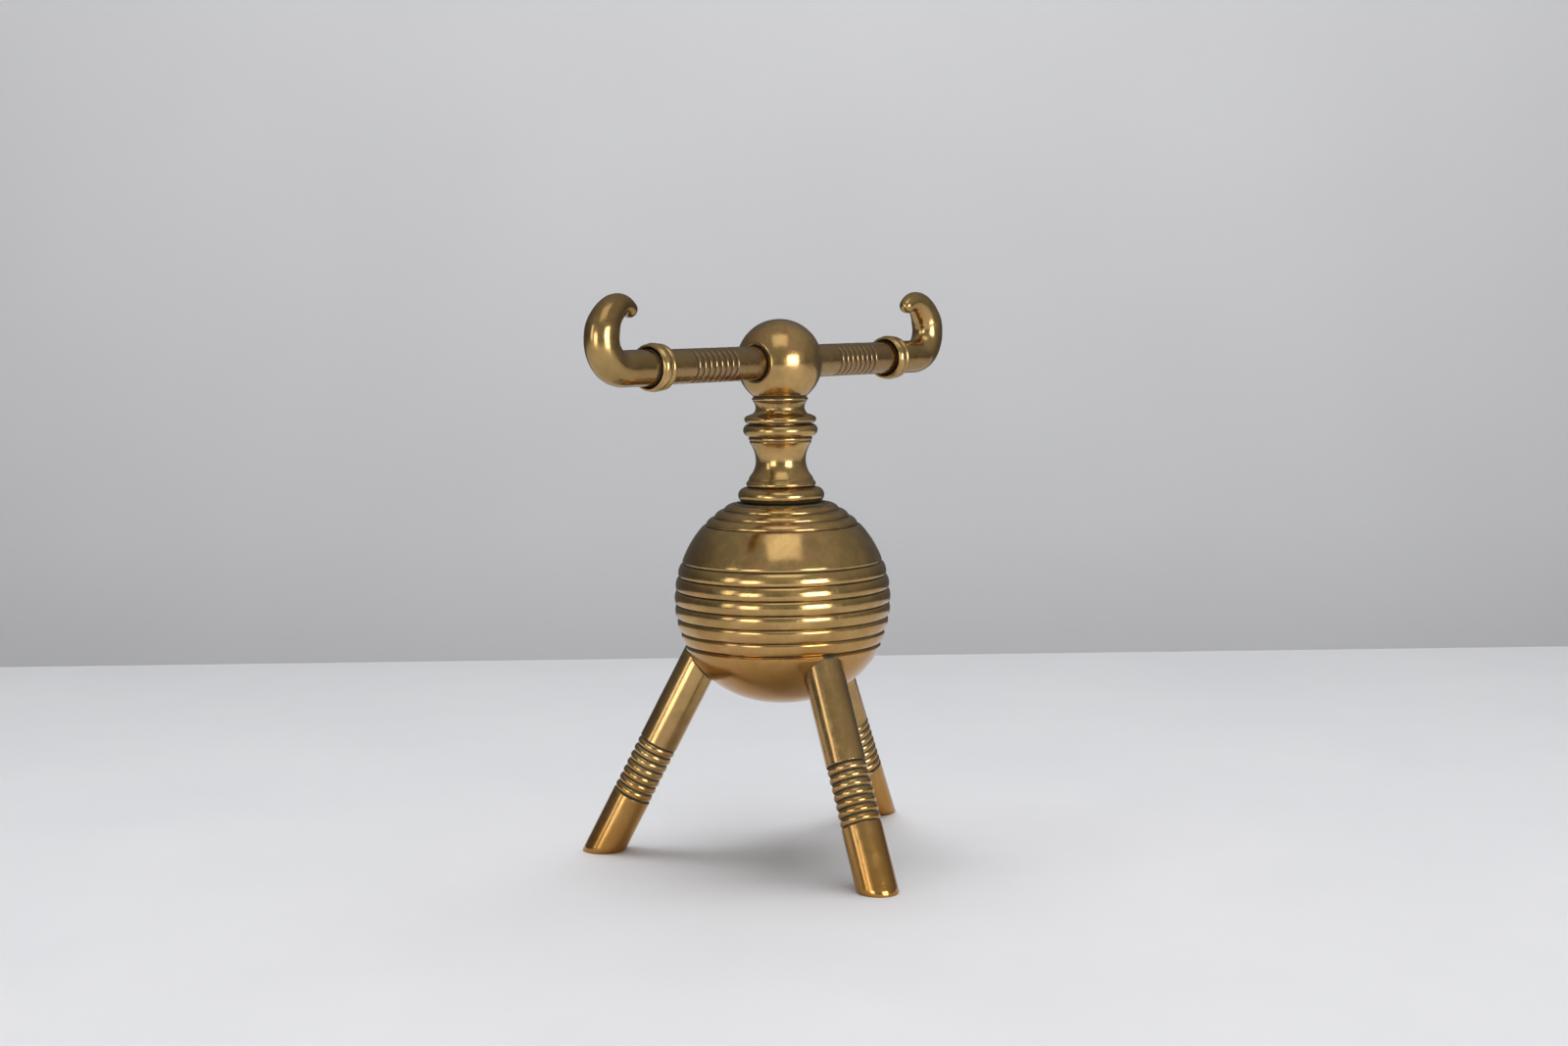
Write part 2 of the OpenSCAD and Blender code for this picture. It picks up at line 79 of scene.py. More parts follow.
BAND_TOP = BAND_LOW + BAND_COUNT * BAND_PITCH
SEAM = BAND_LOW + BAND_COUNT / 2 * BAND_PITCH
CROWN_TOP = CROWN_LOW + CROWN_COUNT * CROWN_PITCH
HOLLOW_R = BALL_R - SHELL_WALL
LAND_R = HOLLOW_R + LAND_DEPTH
CUP_R = SOCKET_WAIST_R + 0.8

# ---- places, from the frame -----------------------------------------------------------------

SEAT_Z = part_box("ball_upper_shell")[1].z / MM
BALL_Z = SEAT_Z - BALL_R + CROWN_CUT
NECK_TOP_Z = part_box("thrust_washer")[0].z / MM
HEAD_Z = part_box("head_socket")[0].z / MM
arm_low, arm_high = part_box("arm_right")
BAR_Z = (arm_low.z + arm_high.z) / 2 / MM
collar_low, collar_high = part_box("collar_right")
collar_at = (collar_low + collar_high) / 2
HEAD_REST = math.atan2(collar_at.y, collar_at.x)
ARM_REACH = math.hypot(collar_at.x, collar_at.y) / MM
FOOT_RADIUS = frame["record"]["mounts"][0]["pos_m"][0] / MM

ON_BAR = Matrix.Translation((0, 0, BAR_Z * MM)) @ Matrix.Rotation(HEAD_REST, 4, "Z")
ALONG_X = Matrix.Rotation(math.pi / 2, 4, "Y")
UP = Matrix.Identity(4)


def on_leg(k):
    """The frame of leg k: Z along the leg, zero at the middle of its foot."""
    turn = Matrix.Rotation(k * math.tau / len(LEGS), 4, "Z")
    lean = Matrix.Rotation(-math.radians(LEG_TILT), 4, "Y")
    return turn @ Matrix.Translation((FOOT_RADIUS * MM, 0, 0)) @ lean


# ---- camera ---------------------------------------------------------------------------------

CAMERA_AZIMUTH = -147.54
CAMERA_DISTANCE, CAMERA_HEIGHT = 0.7065, 0.1812
CAMERA_PITCH, CAMERA_YAW, CAMERA_ROLL = -5.721, 0.065, -0.751


def towards(azimuth, distance, height):
    """A place at that azimuth round the turning axis, in degrees, and that far from it, in metres."""
    a = math.radians(azimuth)
    return Vector((distance * math.cos(a), distance * math.sin(a), height))


camera_data = bpy.data.cameras.new("camera")
camera_data.lens = 49.09
camera_data.sensor_width = 36
camera_data.clip_start = 0.05
camera = bpy.data.objects.new("camera", camera_data)
bpy.context.scene.collection.objects.link(camera)
camera.matrix_world = (
    Matrix.Translation(towards(CAMERA_AZIMUTH, CAMERA_DISTANCE, CAMERA_HEIGHT))
    @ Matrix.Rotation(math.radians(CAMERA_AZIMUTH + 90 - CAMERA_YAW), 4, "Z")
    @ Matrix.Rotation(math.radians(90 + CAMERA_PITCH), 4, "X")
    @ Matrix.Rotation(math.radians(CAMERA_ROLL), 4, "Z")
)
bpy.context.scene.camera = camera


# ---- mesh building --------------------------------------------------------------------------


def add_mesh(name, points, faces, grime_and_shade):
    """A smooth mesh object from points in millimetres, with a mark per point for soil in grooves and painted
    shade where parts meet.
    """
    mesh = bpy.data.meshes.new(name)
    mesh.from_pydata([tuple(p) for p in np.asarray(points) * MM], [], faces)
    mesh.validate()
    mesh.attributes.new("grime_and_shade", "FLOAT", "POINT").data.foreach_set("value", np.asarray(grime_and_shade, float))
    mesh.polygons.foreach_set("use_smooth", [True] * len(mesh.polygons))
    mesh.set_sharp_from_angle(angle=math.radians(50))
    piece = bpy.data.objects.new(name, mesh)
    bpy.context.scene.collection.objects.link(piece)
    return piece


def arc(centre, radius, start, end, steps=14):
    """Points of an arc from one angle to another, in degrees."""
    angles = np.radians(np.linspace(start, end, steps + 1))
    return [(centre[0] + radius * math.cos(a), centre[1] + radius * math.sin(a)) for a in angles]


def bead(low, high, base, crest, steps=12, power=2.4):
    """A rounded bead between two stations of a turned piece, as (radius, station)."""
    across = np.linspace(-1, 1, steps + 1)
    middle, half = (low + high) / 2, (high - low) / 2
    return [(base + (crest - base) * (1 - abs(u) ** power), middle + half * u) for u in across]


def refine(outline, longest):
    """The outline with its long straight stretches cut up, so that the surface can be uneven there."""
    made = []
    for a, b in zip(outline, outline[1:] + outline[:1]):
        pieces = max(1, math.ceil(math.dist(a, b) / longest))
        for i in range(pieces):
            made.append((a[0] + (b[0] - a[0]) * i / pieces, a[1] + (b[1] - a[1]) * i / pieces))
    return made


def lathe(name, outline, dirt_and_shade_spots=(), turns=192, place=UP, longest=1.0):
    """A piece turned round Z from a closed outline of (radius, station).

    The list of spots holds (radius, station, reach, amount): the surface is darkest there and plain past
    reach, with soil in grooves and hollows and painted shade where parts meet.
    """
    outline = refine(outline, longest)
    section = np.array(outline)
    grime_and_shade = np.zeros(len(section))
    for radius, station, reach, amount in dirt_and_shade_spots:
        away = np.hypot(section[:, 0] - radius, section[:, 1] - station)
        grime_and_shade = np.maximum(grime_and_shade, amount * np.clip(1 - away / reach, 0, 1))
    angles = np.arange(turns) * math.tau / turns
    points, rings = [], []
    for r, z in outline:
        start = len(points)
        if r < 1e-6:
            points.append((0, 0, z))
            rings.append([start] * turns)
        else:
            points += [(r * math.cos(a), r * math.sin(a), z) for a in angles]
            rings.append(list(range(start, start + turns)))
    faces = []
    for low, high in zip(rings, rings[1:] + rings[:1]):
        for k in range(turns):
            j = (k + 1) % turns
            face = list(dict.fromkeys((low[k], low[j], high[j], high[k])))
            if len(face) > 2:
                faces.append(face)
    spread = [g for g, ring in zip(grime_and_shade, rings) for _ in dict.fromkeys(ring)]
    piece = add_mesh(name, points, faces, spread)
    piece.data.transform(place)
    return piece


def coordinates(piece):
    """The piece's points in millimetres."""
    flat = np.zeros(len(piece.data.vertices) * 3)
    piece.data.vertices.foreach_get("co", flat)
    return flat.reshape(-1, 3) / MM


def add_joint_shade(piece, amount):
    """Raises the piece's mark for soil and painted shade to at least amount at each point; it paints shade
    where parts meet.
    """
    values = np.zeros(len(piece.data.vertices))
    layer = piece.data.attributes["grime_and_shade"].data
    layer.foreach_get("value", values)
    layer.foreach_set("value", np.maximum(values, amount))


def make_uneven(piece, height, size, seed):
    """Moves the surface in and out a little, as filing, wear and small knocks leave it."""
    shift = Vector((seed * 17.3, seed * 5.1, seed * 9.7))
    points = coordinates(piece)
    normals = np.zeros(points.size)
    piece.data.vertex_normals.foreach_get("vector", normals)
    places = [Vector(p) / size + shift for p in points]
    lift = np.array([noise.noise(at) + 0.5 * noise.noise(at * 2.3) for at in places])
    points += normals.reshape(-1, 3) * (height * lift)[:, None]
    piece.data.vertices.foreach_set("co", (points * MM).ravel())
    piece.data.update()


def finish_piece(piece, body, slot, material, *nodes):
    """Puts a made piece in place of the CAD nodes that it stands for."""
    piece.data.materials.clear()
    piece.data.materials.append(material)
    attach(piece, body)
    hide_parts(*nodes)


# ---- materials ------------------------------------------------------------------------------


class Shader:
    """Short ways to build one material's node tree."""

    def __init__(self, name):
        self.material = bpy.data.materials.new(name)
        self.material.use_nodes = True
        self.tree = self.material.node_tree
        self.surface = self.tree.nodes["Principled BSDF"]

    def add(self, kind, inputs=(), **settings):
        node = self.tree.nodes.new("ShaderNode" + kind)
        for key, value in settings.items():
            setattr(node, key, value)
        for socket, value in dict(inputs).items():
            self.put(node.inputs[socket], value)
        return node

    def put(self, socket, value):
        if isinstance(value, bpy.types.NodeSocket):
            self.tree.links.new(value, socket)
        else:
            socket.default_value = value

    def place(self, stretch=(1, 1, 1), shift=(0, 0, 0)):
        """The surface's own coordinates, in millimetres."""
        own = self.add("TexCoord").outputs["Object"]
        scale = [s / MM for s in stretch]
        return self.add("Mapping", {"Vector": own, "Scale": scale, "Location": shift}).outputs[0]

    def noise(self, at, size, detail=3.0, rough=0.55, distortion=0.0):
        made = self.add("TexNoise", {"Vector": at, "Scale": 1 / size, "Detail": detail,
                                     "Roughness": rough, "Distortion": distortion})
        return made.outputs["Fac"]

    def cells(self, at, size):
        return self.add("TexVoronoi", {"Vector": at, "Scale": 1 / size}).outputs["Distance"]

    def between(self, value, low, high, to_low=0.0, to_high=1.0):
        """Eases value from one range to another."""
        made = self.add("MapRange", {"Value": value, "From Min": low, "From Max": high,
                                     "To Min": to_low, "To Max": to_high},
                        interpolation_type="SMOOTHSTEP")
        return made.outputs["Result"]

    def sum(self, operation, a, b):
        node = self.add("Math", operation=operation)
        self.put(node.inputs[0], a)
        self.put(node.inputs[1], b)
        return node.outputs[0]

    def mix(self, factor, a, b, blend="MIX"):
        node = self.add("Mix", data_type="RGBA", blend_type=blend)
        self.put(node.inputs["Factor"], factor)
        for socket, colour in ((node.inputs[6], a), (node.inputs[7], b)):
            self.put(socket, colour if isinstance(colour, bpy.types.NodeSocket) else (*colour, 1))
        return node.outputs[2]


GOLD = (0.54, 0.347, 0.131)
OLIVE = (0.38, 0.249, 0.096)
ROSY = (0.48, 0.250, 0.115)
UMBER = (0.46, 0.220, 0.050)
# Dark colour for soil and pits, and for the painted shade where parts meet.
DIRT_AND_SHADE = (0.022, 0.019, 0.012)
VERDIGRIS = (0.048, 0.060, 0.030)


def brass(name, seed, gold=GOLD, olive=OLIVE, rosy=ROSY, shine=0.17, rosy_share=0.5,
          pitted=0.5, green=0.3, warm_under=None, rippled=1.0):
    """Old handled brass: patches of tone, fine pits and scratches; where the mark is set, soil in grooves and
    hollows and painted shade where parts meet.

    warm_under is a pair of heights in millimetres: the metal is plain above the first and umber below
    the second.
    """
    s = Shader(name)
    shift = (seed * 13.1, seed * 7.7, seed * 3.3)
    at = s.place(shift=shift)
    patches = s.noise(at, 17, 4, 0.6, 0.6)
    mottle = s.noise(at, 3.2, 6, 0.65)
    specks = s.noise(at, 0.55, 3, 0.6)
    colour = s.mix(s.between(s.sum("ADD", patches, s.sum("MULTIPLY", mottle, 0.35)), 0.52, 0.86), olive, gold)
    blush = s.noise(s.place(shift=(shift[1], shift[2], shift[0])), 9, 4, 0.6, 0.8)
    colour = s.mix(s.sum("MULTIPLY", s.between(blush, 0.50, 0.68), rosy_share), colour, rosy)
    colour = s.mix(s.sum("MULTIPLY", s.between(specks, 0.56, 0.74), 0.12), colour, olive)
    if warm_under:
        height = s.add("SeparateXYZ", {"Vector": s.place()}).outputs["Z"]
        height = s.sum("ADD", height, s.sum("MULTIPLY", s.sum("SUBTRACT", patches, 0.5), 30))
        colour = s.mix(s.between(height, *warm_under, 0.0, 0.8), colour, UMBER)

    pit_cells = s.cells(s.place(shift=(shift[2], shift[0], shift[1])), 0.95)
    pit_area = s.between(s.noise(at, 6.5, 2, 0.5), 0.72 - 0.36 * pitted, 0.86 - 0.30 * pitted)
    pits = s.sum("MULTIPLY", s.between(pit_cells, 0.20, 0.09), pit_area)
    scratch = s.noise(s.place(stretch=(0.10, 0.55, 2.6), shift=shift), 0.6, 2, 0.5)
    scratches = s.between(scratch, 0.655, 0.70)
    crossing = s.noise(s.place(stretch=(2.4, 0.4, 0.12), shift=shift), 0.6, 2, 0.5)
    scratches = s.sum("MAXIMUM", scratches, s.between(crossing, 0.67, 0.71))

    # The mark read here brings soil, green patina and a darker tarnish into grooves and hollows, and painted
    # shade where parts meet; all of it darkens the colour below.
    grime_and_shade_level = s.add("Attribute", attribute_name="grime_and_shade").outputs["Fac"]
    broken = s.sum("ADD", grime_and_shade_level, s.sum("MULTIPLY", s.sum("SUBTRACT", s.noise(at, 1.1, 4, 0.6), 0.5), 0.75))
    dirt_and_shade = s.between(broken, 0.30, 0.62)
    film_and_shade = s.between(broken, 0.05, 0.55)
    damp = s.between(s.noise(at, 2.4, 3), 0.50 - 0.25 * green, 0.72 - 0.2 * green)
    greenish = s.sum("MULTIPLY", damp, green)
    dirt_and_shade_colour = s.mix(greenish, DIRT_AND_SHADE, VERDIGRIS)
    colour = s.mix(s.sum("MULTIPLY", film_and_shade, 0.55), colour, tuple(0.42 * c for c in olive))
    colour = s.mix(s.sum("MULTIPLY", pits, 0.8), colour, DIRT_AND_SHADE)
    colour = s.mix(s.sum("MULTIPLY", scratches, 0.22), colour, gold)
    colour = s.mix(dirt_and_shade, colour, dirt_and_shade_colour)

    rough = s.sum("ADD", shine, s.sum("MULTIPLY", s.between(mottle, 0.38, 0.70), 0.08))
    rough = s.sum("ADD", rough, s.sum("MULTIPLY", s.between(specks, 0.45, 0.75), 0.03))
    rough = s.sum("ADD", rough, s.sum("MULTIPLY", dirt_and_shade, 0.38))
    height = s.sum("MULTIPLY", s.noise(at, 3.2, 2, 0.4), 0.012 * rippled)
    height = s.sum("ADD", height, s.sum("MULTIPLY", s.noise(at, 0.35, 3, 0.6), 0.0007))
    height = s.sum("SUBTRACT", height, s.sum("MULTIPLY", pits, 0.035))
    height = s.sum("SUBTRACT", height, s.sum("MULTIPLY", scratches, 0.004))
    height = s.sum("ADD", height, s.sum("MULTIPLY", dirt_and_shade, s.sum("MULTIPLY", specks, 0.05)))
    bump = s.add("Bump", {"Height": height, "Distance": MM, "Strength": 1.0})

    s.put(s.surface.inputs["Base Color"], colour)
    s.put(s.surface.inputs["Metallic"], s.between(dirt_and_shade, 0.0, 1.0, 1.0, 0.15))
    s.put(s.surface.inputs["Roughness"], rough)
    s.put(s.surface.inputs["Normal"], bump.outputs[0])
    return s.material


def steel(name, seed):
    """Dull turned steel, for the fixings inside."""
    s = Shader(name)
    at = s.place(shift=(seed, seed, seed))
    tone = s.noise(at, 2.0, 4)
    lines = s.noise(s.place(stretch=(0.3, 0.3, 6)), 1.0, 2)
    s.put(s.surface.inputs["Base Color"], s.mix(tone, (0.30, 0.30, 0.31), (0.48, 0.47, 0.46)))
    s.put(s.surface.inputs["Metallic"], 1.0)
    s.put(s.surface.inputs["Roughness"], s.between(tone, 0.3, 0.7, 0.34, 0.52))
    bump = s.add("Bump", {"Height": lines, "Distance": 0.00002, "Strength": 0.6})
    s.put(s.surface.inputs["Normal"], bump.outputs[0])
    return s.material


BRASS_BALL = brass("brass_ball", 1, shine=0.14, pitted=0.5, green=0.5, warm_under=(84, 60))
BRASS_NECK = brass("brass_neck", 3, pitted=0.5, green=0.2)
BRASS_SOCKET = brass("brass_socket", 4, pitted=0.9, green=0.25)
BRASS_LEG = brass("brass_leg", 5, gold=(0.50, 0.325, 0.130), olive=(0.39, 0.245, 0.095), rosy_share=0.35,
                  pitted=0.35, green=0.6, warm_under=(46, 0))
BRASS_HEAD = brass("brass_head", 6, rosy_share=0.75, pitted=0.6, green=0.2)
BRASS_COLLAR = brass("brass_collar", 7, gold=(0.58, 0.40, 0.165), pitted=0.2, green=0.2, rippled=0.3)
BRASS_ARM = brass("brass_arm", 8, gold=(0.36, 0.235, 0.10), olive=(0.30, 0.19, 0.08),
                  rosy=(0.33, 0.185, 0.10), rosy_share=0.8, shine=0.22, pitted=0.0, green=0.1, rippled=0.15)
BRASS_HORN = brass("brass_horn", 9, gold=(0.43, 0.285, 0.11), olive=(0.32, 0.205, 0.08), rosy_share=0.4,
                   pitted=0.4, green=0.1)
BRASS_INNER = brass("brass_inner", 10, shine=0.4, pitted=0.3, green=0.4)
STEEL = steel("steel", 11)


# ---- the ball -------------------------------------------------------------------------------


def polar(r, a):
    """A point at distance r and latitude a, in degrees, from the ball's centre."""
    return (r * math.cos(math.radians(a)), r * math.sin(math.radians(a)))


def band_skin(a):
    """The upper skin's distance from the ball's centre, above the lowest groove."""
    return BALL_R + BAND_FLARE * max(0, BAND_TOP - a) / (BAND_TOP - BAND_LOW)


def belly_skin(a):
    """The lower skin's distance from the ball's centre: an arc centred off the axis."""
    along = BELLY_OUT * math.cos(math.radians(a)) - BELLY_DROP * math.sin(math.radians(a))
    return along + math.sqrt(BELLY_R ** 2 - BELLY_OUT ** 2 - BELLY_DROP ** 2 + along ** 2)


def reeds(low, pitch, count, proud, steps=24):
    """A run of reeds, groove to groove: gently rounded, with narrow grooves between them."""
    made = []
    for i in range(count * steps + 1):
        a = low + pitch * i / steps
        across = abs(2 * (i % steps) / steps - 1)
        made.append(polar(band_skin(a) + proud - REED_RELIEF * (across ** 2 + across ** 9) / 2, a))
    return made


def groove_dirt(low, pitch, count, proud, reach=0.50, amount=1.0):
    """Dirt in each groove of a run of reeds."""
    spots = []
    for i in range(count + 1):
        a = low + pitch * i
        spots.append((*polar(band_skin(a) + proud - REED_RELIEF, a), reach, amount))
    return spots


def skin(low, high, steps, radius):
    return [polar(radius(a), a) for a in np.linspace(low, high, steps + 1)]


SEAM_Z = polar(band_skin(SEAM) + REED_PROUD - REED_RELIEF, SEAM)[1]


def hollow(low_z, high_z, steps=40):
    """The inside of the ball between two heights, from the lower one up."""
    a0, a1 = (math.degrees(math.asin(z / HOLLOW_R)) for z in (low_z, high_z))
    return [polar(HOLLOW_R, a) for a in np.linspace(a0, a1, steps + 1)]


def make_upper_shell():
    seat = SEAT_Z - BALL_Z
    ceiling = seat - 3
    stem_r = 5.1
    edge_r = polar(band_skin(CROWN_TOP) + CROWN_PROUD - REED_RELIEF, CROWN_TOP)[0] - SEAT_EDGE
    outline = reeds(SEAM, BAND_PITCH, BAND_COUNT // 2, REED_PROUD)
    outline += [polar(BALL_R - REED_RELIEF * SHOULDER_DIP, BAND_TOP + SHOULDER / 2)]
    outline += skin(BAND_TOP + SHOULDER, CROWN_LOW - SHOULDER, 40, lambda a: BALL_R)
    outline += [polar(BALL_R - REED_RELIEF * SHOULDER_DIP, CROWN_LOW - SHOULDER / 2)]
    outline += reeds(CROWN_LOW, CROWN_PITCH, CROWN_COUNT, CROWN_PROUD)
    outline += [(edge_r + 0.2, seat - 0.15), (edge_r, seat), (stem_r, seat), (stem_r, ceiling)]
    outline += hollow(SEAM_Z + RING_HALF, ceiling)[::-1]
    outline += [(LAND_R, SEAM_Z + RING_HALF), (LAND_R, SEAM_Z)]
    dirt_and_shade_spots = groove_dirt(SEAM, BAND_PITCH, BAND_COUNT // 2, REED_PROUD)
    dirt_and_shade_spots += groove_dirt(CROWN_LOW, CROWN_PITCH, CROWN_COUNT, CROWN_PROUD)
    # Painted shade at the seat, where the neck's foot sits on the crown.
    dirt_and_shade_spots += [(14.0, seat, 2.2, 1.0)]
    piece = lathe("ball_upper", outline, dirt_and_shade_spots, 320, Matrix.Translation((0, 0, BALL_Z * MM)))
    make_uneven(piece, 0.030, 11, 1)
    finish_piece(piece, "base", "brass_ball", BRASS_BALL, "ball_upper_shell")


# Past this, the squared cosine between the ball's normal and a leg's side, the two run into each other
GRAZING = 0.80


def make_lower_shell():
    outline = skin(-90, BAND_LOW - SHOULDER, 90, belly_skin)
    outline[0] = (0, outline[0][1])
    edge = BAND_LOW - SHOULDER / 2
    outline += [polar(belly_skin(edge) - REED_RELIEF * SHOULDER_DIP, edge)]
    outline += reeds(BAND_LOW, BAND_PITCH, BAND_COUNT // 2, REED_PROUD)
    outline += [(LAND_R, SEAM_Z), (LAND_R, SEAM_Z - RING_HALF)]
    outline += hollow(-HOLLOW_R, SEAM_Z - RING_HALF)[::-1]
    outline[-1] = (0, outline[-1][1])
    dirt_and_shade_spots = groove_dirt(BAND_LOW, BAND_PITCH, BAND_COUNT // 2, REED_PROUD)
    piece = lathe("ball_lower", outline, dirt_and_shade_spots, 320, Matrix.Translation((0, 0, BALL_Z * MM)))
    points = coordinates(piece)
    # Painted shade round each leg where it runs into the ball.
    for k in range(len(LEGS)):
        local = np.array(on_leg(k).inverted())
        own = points @ local[:3, :3].T + local[:3, 3] / MM
        from_axis = np.hypot(own[:, 0], own[:, 1])
        centre = local @ np.array([0, 0, BALL_Z * MM, 1])
        outward = own - centre[:3] / MM
        outward /= np.linalg.norm(outward, axis=1)[:, None]
        along = (outward[:, 0] * own[:, 0] + outward[:, 1] * own[:, 1]) / np.maximum(from_axis, 0.1)
        away = np.abs(from_axis - LEG_R) / np.sqrt(np.maximum(1 - along ** 2, 0.01))
        add_joint_shade(piece, 0.85 * np.clip(1 - away / 0.55, 0, 1) * (along ** 2 < GRAZING))
    make_uneven(piece, 0.030, 11, 2)
    finish_piece(piece, "base", "brass_ball", BRASS_BALL, "ball_lower_shell")


# ---- the legs -------------------------------------------------------------------------------

LEG_SIDES = 120


def station_on_ball(x, y, inverse_z):
    """Where the line at (x, y) of a leg's frame, along the leg, meets the lower skin."""
    tilt = math.radians(LEG_TILT)

    def outside(s):
        px = FOOT_RADIUS + x * math.cos(tilt) - s * math.sin(tilt)
        pz = x * math.sin(tilt) + s * math.cos(tilt) - BALL_Z
        flat = math.hypot(px, y)
        return math.hypot(flat, pz) - belly_skin(math.degrees(math.atan2(pz, flat)))

    low, high = inverse_z, inverse_z + 45
    for _ in range(40):
        middle = (low + high) / 2
        low, high = (middle, high) if outside(middle) > 0 else (low, middle)
    return low


def leg_radius(s):
    """The reeded rod's radius at station s."""
    u = (s - LEG_REED_START) / LEG_REED_PITCH
    if 0 <= u <= LEG_REEDS:
        return LEG_R - LEG_REED_DEPTH * abs(2 * (u % 1) - 1) ** 2.2
    nearest = min(abs(u), abs(u - LEG_REEDS)) * LEG_REED_PITCH
    return LEG_R - LEG_REED_DEPTH * max(0, 1 - nearest / 0.45) ** 2


def leg_grime_and_shade(s, top, outer):
    """Soil in the reed grooves, and painted shade at the top where the leg meets the ball, less on the outer
    side.
    """
    u = (s - LEG_REED_START) / LEG_REED_PITCH
    groove = abs(u - min(max(round(u), 0), LEG_REEDS)) * LEG_REED_PITCH
    joint_shade = max(0, 0.75 - (top - s) / 0.6) * min(1, max(0, 1.3 - 1.6 * outer))
    return max(1.0 - groove / 0.62, joint_shade, 0)


def make_leg(k):
    """A rod with its foot cut level with the table and its top cut to the ball."""
    tilt = math.radians(LEG_TILT)
    straight = 16.0
    plain = 46.0
    foot_steps, band_steps, top_steps = 10, 260, 26
    chamfer = 0.35
    points, grime_and_shade, columns = [], [], []
    for j in range(LEG_SIDES):
        a = j * math.tau / LEG_SIDES
        x, y = math.cos(a), math.sin(a)
        foot = -LEG_R * x * math.tan(tilt)
        top = station_on_ball(LEG_R * x, LEG_R * y, plain)
        stations = [foot + chamfer * 0.3, *np.linspace(foot + chamfer, straight, foot_steps)]
        stations += list(np.linspace(straight, plain, band_steps + 1))[1:]
        stations += list(np.linspace(plain, top, top_steps + 1))[1:]
        column = []
        for i, s in enumerate(stations):
            r = leg_radius(s) - (chamfer * 0.7 if i == 0 else 0)
            column.append(len(points))
            points.append((r * x, r * y, s if i else foot * (1 - chamfer * 0.7 / LEG_R)))
            grime_and_shade.append(leg_grime_and_shade(s, top, x))
        columns.append(column)
    faces = []
    for left, right in zip(columns, columns[1:] + columns[:1]):
        faces += [(left[i], right[i], right[i + 1], left[i + 1]) for i in range(len(left) - 1)]
    faces.append([column[0] for column in columns][::-1])
    faces.append([column[-1] for column in columns])
    piece = add_mesh("leg_" + LEGS[k], points, faces, grime_and_shade)
    piece.data.transform(on_leg(k))
    make_uneven(piece, 0.028, 9, 3 + k)
    finish_piece(piece, "base", "brass_leg", BRASS_LEG, "leg_" + LEGS[k])


# ---- the neck -------------------------------------------------------------------------------


def make_neck():
    height = NECK_TOP_Z - SEAT_Z
    foot_r, foot_bead, waist_r, waist_z = 14.3, 2.5, 8.3, 14.0
    top_r, top_bead, stem_r, stem_len = 12.35, 2.0, 5.0, 11.4
    bore_r = SPINDLE_R + RUN_FIT
    sweep = height - waist_z - 2
    outline = [(bore_r, -stem_len), (stem_r, -stem_len), (stem_r, 0)]
    outline += arc((foot_r - foot_bead, foot_bead), foot_bead, -90, 80, 24)
    outline += bead(2 * foot_bead + 0.25, 2 * foot_bead + 2.25, waist_r + 2.6, waist_r + 3.25)
    outline += arc((waist_r + 8, waist_z), 8, 223, 180, 24)
    outline += arc((waist_r + sweep, waist_z), sweep, 178, 143, 24)
    outline += bead(height - 5.4, height - 4.1, waist_r + 1.85, waist_r + 2.25)
    outline += arc((top_r - top_bead, height - top_bead), top_bead, -82, 90, 24)
    outline += [(bore_r, height)]
    # The spots at the foot and at the top are painted shade where the neck meets the ball and the washer;
    # those by the beads are soil in the creases.
    dirt_and_shade_spots = [(foot_r - 1.2, 0.3, 1.8, 1.0), (waist_r + 3.2, 2 * foot_bead + 0.1, 0.9, 0.85),
             (waist_r + 2.4, 2 * foot_bead + 2.3, 0.7, 0.55), (waist_r + 1.9, height - 5.45, 0.6, 0.5),
             (waist_r + 1.9, height - 4.05, 0.8, 0.85), (top_r - 1.4, height, 1.3, 0.9)]
    piece = lathe("neck", outline, dirt_and_shade_spots, 256, Matrix.Translation((0, 0, SEAT_Z * MM)), 0.6)
    make_uneven(piece, 0.030, 7, 7)
    finish_piece(piece, "base", "brass_neck", BRASS_NECK, "neck_column")


# ---- the head -------------------------------------------------------------------------------


def make_socket():
    flange_r, edge, waist_r, waist_z = 11.9, 1.15, SOCKET_WAIST_R, 4.95
    ball_z = BAR_Z - HEAD_Z
    cup_end = math.degrees(math.asin(CUP_R / HEAD_R))
    bore_end = math.degrees(math.asin(SPINDLE_R / HEAD_R))
    outline = [(SPINDLE_R, 0)]
    outline += arc((flange_r - edge, edge), edge, -90, 82, 20)
    outline += arc((waist_r + 2.3, waist_z), 2.3, 266, 180, 20)
    outline += arc((waist_r + 3.3, waist_z), 3.3, 177, 140, 12)
    outline += bead(CUP_H - 1.55, CUP_H - 0.30, CUP_R - 0.1, CUP_R + 0.35)
    outline += [(HEAD_R * math.sin(math.radians(a)), ball_z - HEAD_R * math.cos(math.radians(a)))
                for a in np.linspace(cup_end, bore_end, 16)]
    # The spots at the flange's foot and at the cup's rim are painted shade where the socket meets the washer
    # and the head ball; the others are soil and wear.
    dirt_and_shade_spots = [(flange_r - 1.0, 0, 1.2, 1.0), (waist_r + 2.2, 2.55, 0.7, 0.6), (waist_r, waist_z, 2.4, 0.42),
             (CUP_R - 0.2, CUP_H - 1.6, 0.6, 0.7), (CUP_R, CUP_H, 0.7, 1.0)]
    piece = lathe("socket", outline, dirt_and_shade_spots, 256, Matrix.Translation((0, 0, HEAD_Z * MM)), 0.5)
    make_uneven(piece, 0.045, 3.2, 8)
    finish_piece(piece, "head", "brass_neck", BRASS_SOCKET, "head_socket")


